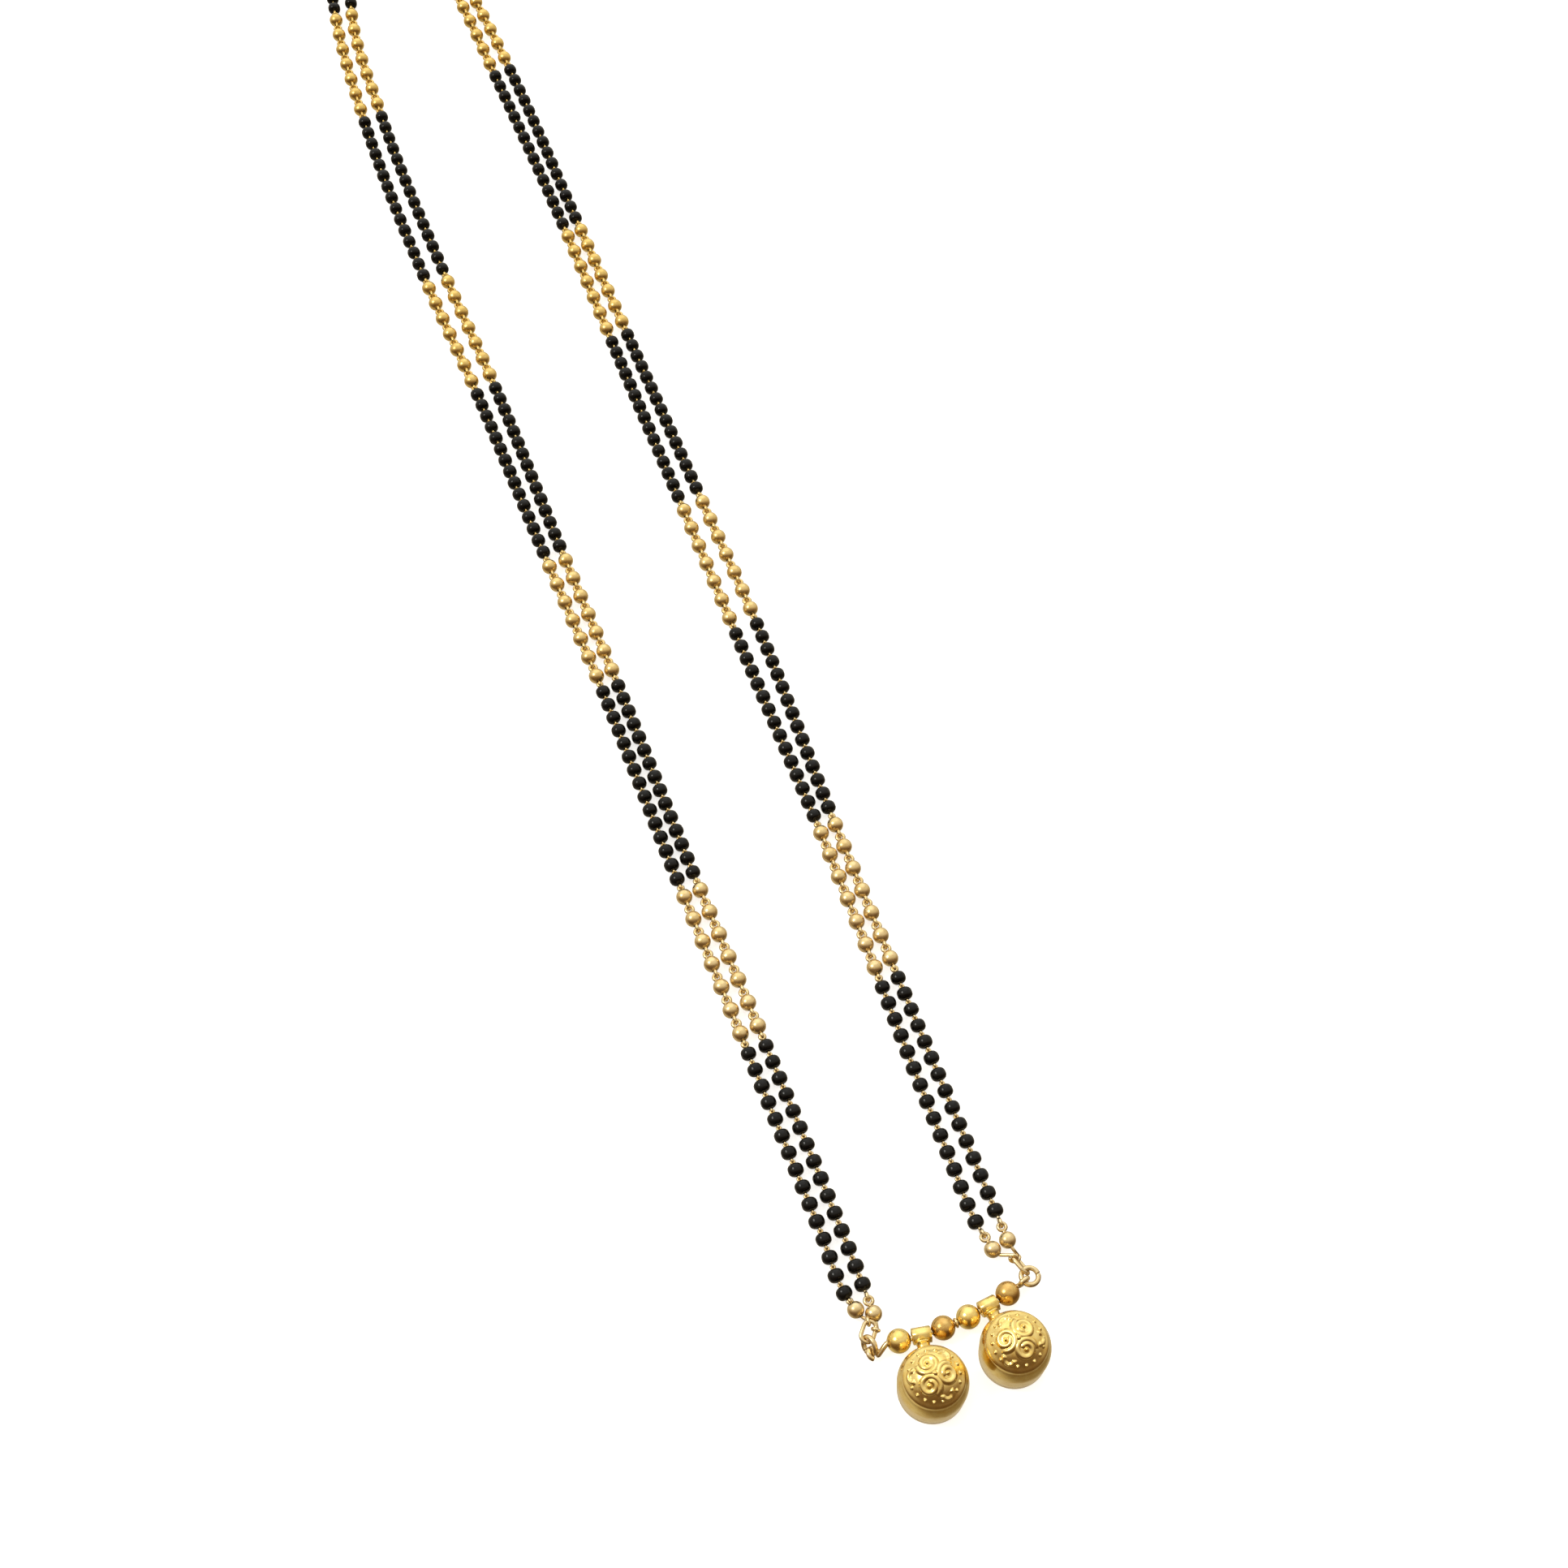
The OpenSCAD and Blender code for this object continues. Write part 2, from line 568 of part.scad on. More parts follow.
black_beads(LEFT_INNER);  // black_beads_left_inner
black_beads(RIGHT_INNER);  // black_beads_right_inner
black_beads(RIGHT_OUTER);  // black_beads_right_outer
black_string(LEFT_OUTER);  // black_string_left_outer
black_string(LEFT_INNER);  // black_string_left_inner
black_string(RIGHT_INNER);  // black_string_right_inner
black_string(RIGHT_OUTER);  // black_string_right_outer
strand_wire(LEFT_OUTER);  // strand_wire_left_outer
strand_wire(LEFT_INNER);  // strand_wire_left_inner
strand_wire(RIGHT_INNER);  // strand_wire_right_inner
strand_wire(RIGHT_OUTER);  // strand_wire_right_outer
jump_ring(CLOSING_LEFT_AT, CLOSING_LIE);  // closing_ring_left
jump_ring(CLOSING_RIGHT_AT, CLOSING_LIE);  // closing_ring_right
clasp();
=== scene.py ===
import json
import math
import random

import bpy
import numpy as np
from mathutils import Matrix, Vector


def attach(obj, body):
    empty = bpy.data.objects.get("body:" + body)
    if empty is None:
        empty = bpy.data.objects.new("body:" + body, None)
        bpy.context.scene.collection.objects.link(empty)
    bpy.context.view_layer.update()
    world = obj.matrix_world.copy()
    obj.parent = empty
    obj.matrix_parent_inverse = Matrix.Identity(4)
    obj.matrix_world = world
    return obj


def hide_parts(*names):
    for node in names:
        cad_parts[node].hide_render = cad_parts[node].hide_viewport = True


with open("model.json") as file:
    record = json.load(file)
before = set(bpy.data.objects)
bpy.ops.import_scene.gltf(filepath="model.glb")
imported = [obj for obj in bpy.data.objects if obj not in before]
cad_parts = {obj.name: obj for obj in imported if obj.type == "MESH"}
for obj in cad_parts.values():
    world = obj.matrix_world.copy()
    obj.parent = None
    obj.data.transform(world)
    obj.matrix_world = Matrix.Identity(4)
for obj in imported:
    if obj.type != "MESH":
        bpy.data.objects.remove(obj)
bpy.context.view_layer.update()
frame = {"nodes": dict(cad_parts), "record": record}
NODES = frame["nodes"]
MM = 0.001
SEED = 11
rng = random.Random(SEED)

# ---------------------------------------------------------------- sizes, in mm
# They repeat the named values of part.scad.
BLACK, GOLD = 0, 1
BEAD_D = {BLACK: 2.8, GOLD: 3.0}
END_D = 2.9
BEAD_BORE = {BLACK: 0.8, GOLD: 1.0}
PITCH = {BLACK: 3.2, GOLD: 4.7}
LINK_WIRE = 0.44
LINK_EYE = 1.5
BALL_D = 4.1
ROW_WIRE = 0.7
ROW_EYE = 1.8
ROW_GAP = 0.18
MIDDLE_GAP = 0.5
DOME_R = 5.9
RIM_R = 5.7
WALL_H = 4.6
METAL_T = 0.8
TUBE_D = 2.9
TUBE_L = 3.2
TUBE_BORE = 1.7
NECK_L = 1.1
NECK_D = 2.2
RELIEF_H = 0.28
RING_D = 2.9
RING_WIRE = 0.7
CLASP_D = 3.0
CLASP_HALF = 8.6
STEM_L = 0.45
OVAL_L = 3.5
OVAL_W = 2.1
OVAL_WIRE = 0.5
OVAL_GAP = 0.26
TIP_EYE = 1.2
STRETCHES = [
    (BLACK, 15, 1.02), (GOLD, 7, 1.024), (BLACK, 15, 0.96), (GOLD, 7, 0.98),
    (BLACK, 15, 0.96), (GOLD, 7, 0.98), (BLACK, 15, 1.08), (GOLD, 7, 1.06),
    (BLACK, 15, 1.00)]
ROUTES = {
    "left_outer": [
        (-14.13, -180.2), (-14.9, -176.9), (-14.8, -167), (-14.9, -150), (-15.1, -129),
        (-15.5, -96), (-15.6, -49), (-16.4, -18), (-17.3, 29), (-18.6, 59),
        (-18.5, 111), (-16.3, 143), (-15, 152), (-13.4, 166), (-11.8, 180), (-10.6, 194)],
    "left_inner": [
        (-11.6, -181.85), (-11.5, -176.6), (-11.7, -129), (-12.3, -96), (-12.4, -49),
        (-12.9, -18), (-13.2, 28), (-14.3, 60), (-14.4, 112), (-12.3, 144.6),
        (-11, 151), (-9.8, 165), (-8.4, 180), (-7.4, 194)],
    "right_inner": [
        (11.2, -178.8), (10.4, -173.4), (10.6, -163.6), (11, -147.5), (11.8, -126),
        (12.7, -94), (13, -46), (13.3, -15), (13.6, 32), (14, 65),
        (13.4, 115), (12.8, 141), (11.1, 160), (9, 179), (7.4, 198)],
    "right_outer": [
        (14.2, -178.2), (14.3, -172.7), (15.1, -126), (15.8, -94), (17.6, -48),
        (17.5, -17), (17.3, 30), (17.2, 63), (17.2, 114), (16.2, 140),
        (14.4, 160), (12.3, 179), (10.4, 198)]}
ROUTE_SHIFT = np.array([0.57, -2.11])
ROW_MIDDLE = np.array([1.07, -190.36])
ROW_BOW_R = 50
ROW_BOW_AT = -1.33
RING_LEFT_ANGLE = 167
RING_RIGHT_ANGLE = 17
RING_SHARE = 0.3
SWING = {"left": -10.5, "right": 6.5}
SCROLLS_TURN = {"left": -3, "right": -80}
CLASP_AT = np.array([0.57, 200.49])
CLASP_TURN = 13
RING_LEFT_LIE = (100, 63)
RING_RIGHT_LIE = (92, -4)
CLOSING_LIE = (90, 0)
ROW_EYE_ANGLE = {"left": 188, "right": -107}
RING_LIFT = 0.05
OVAL_LIE = {"left": (50, 3, 187), "right": (107, -2, 60)}
OVAL_HOLD = {"left": 28, "right": -15}

# Looks only, in mm too: wires a little thicker than part.scad's, and flatter beads
FRONT_EYE_WIRE = 1.35 * LINK_WIRE
ROW_LOOK_WIRE = 1.25 * ROW_WIRE
RING_LOOK_WIRE = 1.28 * RING_WIRE
OVAL_LOOK_WIRE = 1.4 * OVAL_WIRE
BEAD_SQUARENESS = 2.6
BEAD_STRETCH = 0.82
# The loops between two beads: their wire, and how many of their radii make up the gap
BLACK_JOINT = (0.38, 3)
GOLD_JOINT = (0.62, 2.5)
LOOP_R_MIN, LOOP_R_MAX = 0.34, 0.68
SPACER_R, SPACER_WIRE = 0.68, 0.46
BEND_R = 0.3
RING_SLIT = 3.0  # degrees on each side of a jump ring's cut


def sind(a):
    return math.sin(math.radians(a))


def cosd(a):
    return math.cos(math.radians(a))


def unit(v):
    v = np.asarray(v, float)
    return v / np.linalg.norm(v)


# ------------------------------------------------------- where everything lies
class Route:
    """A strand's smooth path on the surface, by distance from its end bead."""

    def __init__(self, points):
        self.p = np.array(points, float)
        self.d = np.linalg.norm(np.diff(self.p, axis=0), axis=1)
        self.first = self.d[0]
        n = len(self.p)
        self.way = []
        for i in range(n):
            if i == 0:
                v = self.p[1] - self.p[0]
            elif i == n - 1:
                v = self.p[i] - self.p[i - 1]
            else:
                v = ((self.p[i + 1] - self.p[i]) * self.d[i - 1] / self.d[i]
                     + (self.p[i] - self.p[i - 1]) * self.d[i] / self.d[i - 1])
            self.way.append(unit(v))

    def along(self, s):
        i = 0
        while i < len(self.d) - 1 and s >= self.d[i]:
            s -= self.d[i]
            i += 1
        d, t = self.d[i], s / self.d[i]
        return (self.p[i] * (2 * t**3 - 3 * t**2 + 1)
                + self.way[i] * d * (t**3 - 2 * t**2 + t)
                + self.p[i + 1] * (3 * t**2 - 2 * t**3)
                + self.way[i + 1] * d * (t**3 - t**2))

    def centre(self, kind, s):
        x, y = self.along(self.first + s) + ROUTE_SHIFT
        return np.array([x, y, (BEAD_D[kind] if s >= 0 else END_D) / 2])

    def turn(self, s):
        v = self.along(self.first + s + 0.5) - self.along(self.first + s - 0.5)
        return math.degrees(math.atan2(v[1], v[0]))


def pitch(row):
    return PITCH[row[0]] * row[2]


STARTS = [0.0]
for a, b in zip(STRETCHES, STRETCHES[1:]):
    STARTS.append(STARTS[-1] + (a[1] - 0.5) * pitch(a) + 0.5 * pitch(b))


def ring_axes(lie):
    a, t = lie
    u = np.array([cosd(a), sind(a), 0])
    v = np.array([sind(a) * cosd(t), -cosd(a) * cosd(t), sind(t)])
    return u, v, np.cross(u, v)


def ring_way(lie, angle):
    u, v, _ = ring_axes(lie)
    return cosd(angle) * u + sind(angle) * v


def eye_about(c, u, n, eye_d, step=14, start=50, end=330):
    """Points of an open eye in the plane of two ways."""
    return [c + eye_d / 2 * (cosd(a) * u + sind(a) * n) for a in np.arange(start, end + 1, step)]


def eye(centre, lie, angle, eye_d):
    """An open eye that goes round a ring's wire."""
    u = ring_way(lie, angle)
    return eye_about(centre + u * RING_D / 2, u, ring_axes(lie)[2], eye_d)


BALL_TO_TUBE = (BALL_D + TUBE_L) / 2 + ROW_GAP
ROW_STEPS = [BALL_TO_TUBE, BALL_TO_TUBE, BALL_D + MIDDLE_GAP, BALL_TO_TUBE, BALL_TO_TUBE]
ROW_Z = BALL_D / 2


def row_place(i):
    x = ROW_MIDDLE[0] - sum(ROW_STEPS) / 2 + sum(ROW_STEPS[:i])
    return np.array([x, ROW_MIDDLE[1] + (x - ROW_BOW_AT) ** 2 / (2 * ROW_BOW_R), ROW_Z])


def row_turn(i):
    return math.degrees(math.atan((row_place(i)[0] - ROW_BOW_AT) / ROW_BOW_R))


def ball_turn(i):
    bend = {0: RING_LEFT_ANGLE - 180 - row_turn(0), 5: RING_RIGHT_ANGLE - row_turn(5)}
    return row_turn(i) + RING_SHARE * bend.get(i, 0)


RING_Z = RING_D / 2 * sind(RING_LEFT_LIE[1]) + RING_WIRE / 2 + RING_LIFT
RING_REACH = BALL_D / 2 + ROW_GAP + ROW_WIRE / 2 + ROW_EYE / 2 + RING_D / 2


def beside(ball, angle):
    return np.array([ball[0] + RING_REACH * cosd(angle), ball[1] + RING_REACH * sind(angle),
                     RING_Z])


RING_AT = {"left": beside(row_place(0), RING_LEFT_ANGLE),
           "right": beside(row_place(5), RING_RIGHT_ANGLE)}
CLOSING_AT = {
    side: np.array([CLASP_AT[0] + x * cosd(CLASP_TURN), CLASP_AT[1] + x * sind(CLASP_TURN),
                    CLASP_D / 2])
    for side, x in (("left", -CLASP_HALF), ("right", CLASP_HALF))}
RING_LIE = {"left": RING_LEFT_LIE, "right": RING_RIGHT_LIE}


def oval_axes(lie):
    """An oval link's way, the way across it and the line through it."""
    way = np.array([cosd(lie[0]) * cosd(lie[1]), sind(lie[0]) * cosd(lie[1]), sind(lie[1])])
    side = np.array([-sind(lie[0]), cosd(lie[0]), 0])
    over = cosd(lie[2]) * side + sind(lie[2]) * np.cross(way, side)
    return way, over, np.cross(way, over)


OVAL_AT = {
    side: (RING_AT[side] + RING_D / 2 * ring_way(RING_LIE[side], OVAL_HOLD[side])
           - ((RING_WIRE + OVAL_WIRE) / 2 + OVAL_GAP) * oval_axes(OVAL_LIE[side])[0])
    for side in ("left", "right")}


def tip(side, angle):
    """An open eye round the far end of an oval link."""
    way, over, through = oval_axes(OVAL_LIE[side])
    u = cosd(angle) * way + sind(angle) * over
    wire_at = OVAL_AT[side] + (OVAL_L - OVAL_W / 2) * way + OVAL_W / 2 * u
    return eye_about(wire_at, u, through, TIP_EYE)


# Columns: the side, the eye's angle on the oval link and on the closing ring
STRANDS = {
    "left_outer": ("left", -38, -145),
    "left_inner": ("left", 90, 160),
    "right_inner": ("right", 36, -165),
    "right_outer": ("right", -54, 140)}


# ------------------------------------------------------------------ mesh tools
class Build:
    """Gathers faces for one object."""

    def __init__(self):
        self.v, self.f, self.n = [], [], 0

    def add(self, verts, faces, place=None):
        verts = np.asarray(verts, float)
        if place is not None:
            verts = verts @ place[:3, :3].T + place[:3, 3]
        self.v.append(verts)
        self.f.extend([tuple(i + self.n for i in f) for f in faces])
        self.n += len(verts)

    def make(self, name, mat, slot, *replaced):
        mesh = bpy.data.meshes.new(name)
        mesh.from_pydata((np.vstack(self.v) * MM).tolist(), [], self.f)
        mesh.polygons.foreach_set("use_smooth", [True] * len(mesh.polygons))
        mesh.materials.append(mat)
        mesh.update()
        obj = bpy.data.objects.new(name, mesh)
        bpy.context.scene.collection.objects.link(obj)
        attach(obj, "root")
        if replaced:
            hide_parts(*replaced)
        return obj


def grid(rows, cols, wrap_rows=False):
    """Quads over a grid of points stored row by row, where each row is a ring."""
    faces = []
    for i in range(rows if wrap_rows else rows - 1):
        for j in range(cols):
            a, b = i * cols + j, i * cols + (j + 1) % cols
            c, d = ((i + 1) % rows) * cols + (j + 1) % cols, ((i + 1) % rows) * cols + j
            faces.append((a, b, c, d))
    return faces


def placed(at, x_axis, z_hint=(0, 0, 1)):
    """A frame at a point with its x axis along a way."""
    x = unit(x_axis)
    y = unit(np.cross(z_hint, x))
    m = np.eye(4)
    m[:3, 0], m[:3, 1], m[:3, 2], m[:3, 3] = x, y, np.cross(x, y), at
    return m


def turned(profile, sides):
    """A closed profile of (x, radius) turned about x."""
    verts = [(x, r * math.cos(2 * math.pi * k / sides), r * math.sin(2 * math.pi * k / sides))
             for x, r in profile for k in range(sides)]
    return verts, grid(len(profile), sides, wrap_rows=True)


def bead_shape(d, bore, sides, rows, squareness, stretch, lip=0.06):
    """A drilled bead along x whose hole has a softly broken edge."""
    r, b = d / 2, bore / 2 + lip
    x_end = stretch * (r**squareness - b**squareness) ** (1 / squareness)
    profile = []
    a0 = math.atan2(b, x_end / stretch)
    for i in range(rows + 1):
        a = a0 + (math.pi - 2 * a0) * i / rows
        c, s = abs(math.cos(a)), math.sin(a)
        k = r / (c**squareness + s**squareness) ** (1 / squareness)
        profile.append((-stretch * k * math.cos(a), k * s))
    profile.append((x_end - 0.4 * lip, bore / 2 + 0.25 * lip))
    profile.append((x_end - 2.2 * lip, bore / 2))
    profile.append((-x_end + 2.2 * lip, bore / 2))
    profile.append((-x_end + 0.4 * lip, bore / 2 + 0.25 * lip))
    return turned(profile, sides)


def tube_along(points, d, sides, caps=True, hint=(0.1, 0.2, 1.0), radii=None):
    """A round wire swept along points, turning as little as it can."""
    p = np.array(points, float)
    t = [unit(p[min(i + 1, len(p) - 1)] - p[max(i - 1, 0)]) for i in range(len(p))]
    n = np.array(hint, float)
    verts = []
    for i, q in enumerate(p):
        n = unit(n - n.dot(t[i]) * t[i])
        b = np.cross(t[i], n)
        r = d / 2 * (radii[i] if radii is not None else 1)
        for k in range(sides):
            a = 2 * math.pi * k / sides
            verts.append(q + r * (math.cos(a) * n + math.sin(a) * b))
    faces = grid(len(p), sides)
    if caps:
        faces.append(tuple(range(sides - 1, -1, -1)))
        faces.append(tuple((len(p) - 1) * sides + k for k in range(sides)))
    return verts, faces


def loop_shape(radius, wire, around=20, sides=6):
    """A closed loop of wire in its own xy plane."""
    verts = []
    for i in range(around):
        a = 2 * math.pi * i / around
        for k in range(sides):
            b = 2 * math.pi * k / sides
            r = radius + wire / 2 * math.cos(b)
            verts.append((r * math.cos(a), r * math.sin(a), wire / 2 * math.sin(b)))
    return verts, grid(around, sides, wrap_rows=True)


# ------------------------------------------------------------------- materials
def material(name):
    mat = bpy.data.materials.new(name)
    mat.use_nodes = True
    tree = mat.node_tree
    return mat, tree, tree.nodes["Principled BSDF"]


def noise(tree, scale, detail, rough, coords):
    n = tree.nodes.new("ShaderNodeTexNoise")
    n.inputs["Scale"].default_value = scale
    n.inputs["Detail"].default_value = detail
    n.inputs["Roughness"].default_value = rough
    tree.links.new(coords, n.inputs["Vector"])
    return n.outputs["Fac"]


def ramp(tree, source, stops):
    """A colour that changes with a value. Stops: a position and a linear colour."""
    r = tree.nodes.new("ShaderNodeValToRGB")
    e = r.color_ramp.elements
    for i, (pos, col) in enumerate(stops):
        el = e[i] if i < 2 else e.new(pos)
        el.position = pos
        el.color = (*col, 1)
    tree.links.new(source, r.inputs["Fac"])
    return r.outputs["Color"]


def spread_out(tree, source, low, high):
    """A value as 0 to 1 between a low and a high end."""
    n = tree.nodes.new("ShaderNodeMapRange")
    n.inputs["From Min"].default_value = low
    n.inputs["From Max"].default_value = high
    tree.links.new(source, n.inputs["Value"])
    return n.outputs["Result"]


def colour_mix(tree, a, b, share=1.0, blend="MIX"):
    """Two colours mixed by a fixed share or by another node's value."""
    n = tree.nodes.new("ShaderNodeMix")
    n.data_type = "RGBA"
    n.blend_type = blend
    if isinstance(share, float):
        n.inputs["Factor"].default_value = share
    else:
        tree.links.new(share, n.inputs["Factor"])
    tree.links.new(a, n.inputs["A"])
    tree.links.new(b, n.inputs["B"])
    return n.outputs["Result"]


def bumps(tree, height, strength, bsdf):
    """Fine marks on a surface."""
    n = tree.nodes.new("ShaderNodeBump")
    n.inputs["Strength"].default_value = strength
    n.inputs["Distance"].default_value = 0.1 * MM
    tree.links.new(height, n.inputs["Height"])
    tree.links.new(n.outputs["Normal"], bsdf.inputs["Normal"])


def metal(name, base, dark, rough, rough_spread, bump, yellower=False):
    """Plated brass: colour that drifts a little, and fine polishing marks."""
    mat, tree, bsdf = material(name)
    coords = tree.nodes.new("ShaderNodeTexCoord").outputs["Object"]
    colour = ramp(tree, noise(tree, 900.0, 3.0, 0.6, coords), [(0.32, dark), (0.62, base)])
    if yellower:
        # The gold is pale near the pendants and yellower towards the clasp
        parts = tree.nodes.new("ShaderNodeSeparateXYZ")
        tree.links.new(coords, parts.inputs["Vector"])
        along = spread_out(tree, parts.outputs["Y"], -0.16, 0.06)
        tint = ramp(tree, along, [(0.0, (1, 1, 1)), (1.0, (0.97, 0.87, 0.5))])
        colour = colour_mix(tree, colour, tint, blend="MULTIPLY")
    tree.links.new(colour, bsdf.inputs["Base Color"])
    lo, hi = rough - rough_spread, rough + rough_spread
    fine = noise(tree, 1400.0, 5.0, 0.65, coords)
    spread = ramp(tree, fine, [(0.3, (lo,) * 3), (0.7, (hi,) * 3)])
    tree.links.new(spread, bsdf.inputs["Roughness"])
    bumps(tree, noise(tree, 1400.0 * 2.3, 4.0, 0.7, coords), bump, bsdf)
    bsdf.inputs["Metallic"].default_value = 1.0
    return mat


def linear(r, g, b):
    """A display colour of 0 to 255 as linear light."""
    return tuple((c / 255 / 12.92 if c / 255 <= 0.04045 else ((c / 255 + 0.055) / 1.055) ** 2.4)
                 for c in (r, g, b))


pendant_gold = metal(
    "pendant_gold", linear(253, 228, 150), linear(243, 208, 120), 0.2, 0.05, 0.05)
# A darker, slightly rougher gold than pendant_gold, given to two of the balls
darker_ball_gold = metal(
    "darker_ball_gold", linear(228, 192, 118), linear(204, 160, 88), 0.24, 0.06, 0.05)
bead_gold = metal(
    "bead_gold", linear(240, 218, 172), linear(224, 198, 144), 0.28, 0.06, 0.06, yellower=True)
wire_gold = metal(
    "pale_gold_wire", linear(236, 216, 172), linear(222, 196, 144), 0.26, 0.06, 0.04,
    yellower=True)

black_glass, tree, bsdf = material("black_glass")
coords = tree.nodes.new("ShaderNodeTexCoord").outputs["Object"]
colour = ramp(tree, noise(tree, 500.0, 3.0, 0.6, coords), [
    (0.35, (0.002, 0.002, 0.0022)), (0.7, (0.006, 0.0058, 0.0056))])
tree.links.new(colour, bsdf.inputs["Base Color"])
fine = noise(tree, 1500.0, 4.0, 0.6, coords)
spread = ramp(tree, fine, [(0.3, (0.06,) * 3), (0.75, (0.16,) * 3)])
tree.links.new(spread, bsdf.inputs["Roughness"])
bumps(tree, fine, 0.06, bsdf)
bsdf.inputs["IOR"].default_value = 1.5
bsdf.inputs["Specular IOR Level"].default_value = 0.25

FINISH = {"pendant_gold": pendant_gold, "bead_gold": bead_gold,
          "pale_gold_wire": wire_gold, "black_glass": black_glass}
for row in frame["record"]["subparts"]:
    mesh = NODES[row["node"]].data
    mesh.materials.clear()
    mesh.materials.append(FINISH[row["material_slot"]])
# Two of the balls get a darker, slightly rougher gold than the others
for node in ("ball_inner_left", "ball_outer_right"):
    NODES[node].data.materials[0] = darker_ball_gold


# --------------------------------------------------------------- camera, stage
# The camera was fitted to the photograph
camera = bpy.data.objects.new("camera", bpy.data.cameras.new("camera"))
bpy.context.scene.collection.objects.link(camera)
camera.location = (-0.05943, -0.27018, 0.36048)
camera.rotation_euler = (math.radians(28.9), 0, math.radians(-20.66))
camera.data.lens = 50
camera.data.sensor_width = 36
camera.data.clip_start = 0.01
bpy.context.scene.camera = camera

FLOOR_HALF = 1.5
FLOOR_Z = -0.00002
floor_mesh = bpy.data.meshes.new("floor")
floor_mesh.from_pydata(
    [(x * FLOOR_HALF, y * FLOOR_HALF, FLOOR_Z) for x, y in ((-1, -1), (1, -1), (1, 1), (-1, 1))],
    [], [(0, 1, 2, 3)])
floor = bpy.data.objects.new("floor", floor_mesh)
bpy.context.scene.collection.objects.link(floor)
# The bright floor isn't mirrored in the metal, which shows the dim room instead
floor.visible_glossy = False
floor_mat, tree, bsdf = material("floor")
bsdf.inputs["Base Color"].default_value = (0.86, 0.86, 0.855, 1)
bsdf.inputs["Roughness"].default_value = 0.9
bsdf.inputs["Specular IOR Level"].default_value = 0.1
bsdf.inputs["Emission Color"].default_value = (1, 1, 0.995, 1)
bsdf.inputs["Emission Strength"].default_value = 0.7
floor_mesh.materials.append(floor_mat)

world = bpy.data.worlds.new("studio")
bpy.context.scene.world = world
world.use_nodes = True
wt = world.node_tree
sky = wt.nodes["Background"]
way = wt.nodes.new("ShaderNodeTexCoord").outputs["Generated"]


def facing(axis, low, high):
    """How far a way points along an axis, as 0 to 1."""
    n = wt.nodes.new("ShaderNodeVectorMath")
    n.operation = "DOT_PRODUCT"
    n.inputs[1].default_value = axis
    wt.links.new(way, n.inputs[0])
    return spread_out(wt, n.outputs["Value"], low, high)


# Bright above and towards the top of the picture, dim and warm towards the camera
room = ramp(wt, facing((0.2, 0.77, 0.6), -1.0, 1.0), [
    (0.0, (0.14, 0.08, 0.04)), (0.22, (0.13, 0.075, 0.035)), (0.42, (0.24, 0.155, 0.09)),
    (0.56, (0.6, 0.5, 0.38)), (0.72, (0.86, 0.8, 0.68)), (0.86, (0.9, 0.86, 0.76)),
    (0.96, (1.45, 1.42, 1.34))])
# Below, the metal shows a pale floor, dimmer towards the camera
ground = ramp(wt, facing((0.35, -0.94, 0.0), 0.0, 0.55), [
    (0.0, (0.62, 0.55, 0.43)), (0.5, (0.48, 0.41, 0.3)), (1.0, (0.26, 0.2, 0.12))])
apart = wt.nodes.new("ShaderNodeSeparateXYZ")
wt.links.new(way, apart.inputs["Vector"])
below = spread_out(wt, apart.outputs["Z"], -0.2, -0.6)
wt.links.new(colour_mix(wt, room, ground, below), sky.inputs["Color"])
# Past the floor's edge, the camera sees a plain pale backdrop
backdrop = wt.nodes.new("ShaderNodeBackground")
backdrop.inputs["Color"].default_value = (0.94, 0.94, 0.93, 1)
seen = wt.nodes.new("ShaderNodeMixShader")
wt.links.new(wt.nodes.new("ShaderNodeLightPath").outputs["Is Camera Ray"], seen.inputs["Fac"])
wt.links.new(sky.outputs["Background"], seen.inputs[1])
wt.links.new(backdrop.outputs["Background"], seen.inputs[2])
wt.links.new(seen.outputs["Shader"], wt.nodes["World Output"].inputs["Surface"])
sky.inputs["Strength"].default_value = 1.0

KEY_AT = (-0.55, 0.15, 0.75)
KEY_TARGET = (0, -0.1, 0)
key = bpy.data.objects.new("key", bpy.data.lights.new("key", "AREA"))
key.data.shape = "DISK"
key.data.size = 0.35
key.data.energy = 2.5
key.data.color = (1.0, 0.98, 0.94)
key.location = KEY_AT
key.rotation_euler = (Vector(KEY_TARGET) - Vector(KEY_AT)).to_track_quat("-Z", "Y").to_euler()
bpy.context.scene.collection.objects.link(key)
bpy.context.scene.view_settings.view_transform = "Standard"


# ------------------------------------------------------------ strands of beads
def strand_beads(name):
    """A strand's route, and the kind, middle and turn of every bead on it."""
    route = Route(ROUTES[name])
    rows = []
    for j, row in enumerate(STRETCHES):
        for i in range(row[1]):
            s = STARTS[j] + i * pitch(row)
            rows.append((row[0], route.centre(row[0], s), route.turn(s)))
    return route, rows


def joint(build, p1, r1, p2, r2, wire, radii):
    """Two linked loops of wire in the gap between two beads, with their stems."""
    t = unit(p2 - p1)
    gap = np.linalg.norm(p2 - p1) - r1 - r2
    m = p1 + t * (r1 + gap / 2)
    radius = min(max(gap / radii, LOOP_R_MIN), LOOP_R_MAX)
    reach = radius - wire / 2
    flat = placed(m - reach * t, t)
    upright = placed(m + reach * t, t, z_hint=np.cross(t, (0, 0, 1)))
    verts, faces = loop_shape(radius, wire)
    build.add(verts, faces, flat)
    build.add(verts, faces, upright)
    near = reach + radius - wire / 4
    build.add(*tube_along([p1, m - near * t], wire, 6, caps=False))
    build.add(*tube_along([m + near * t, p2], wire, 6, caps=False))


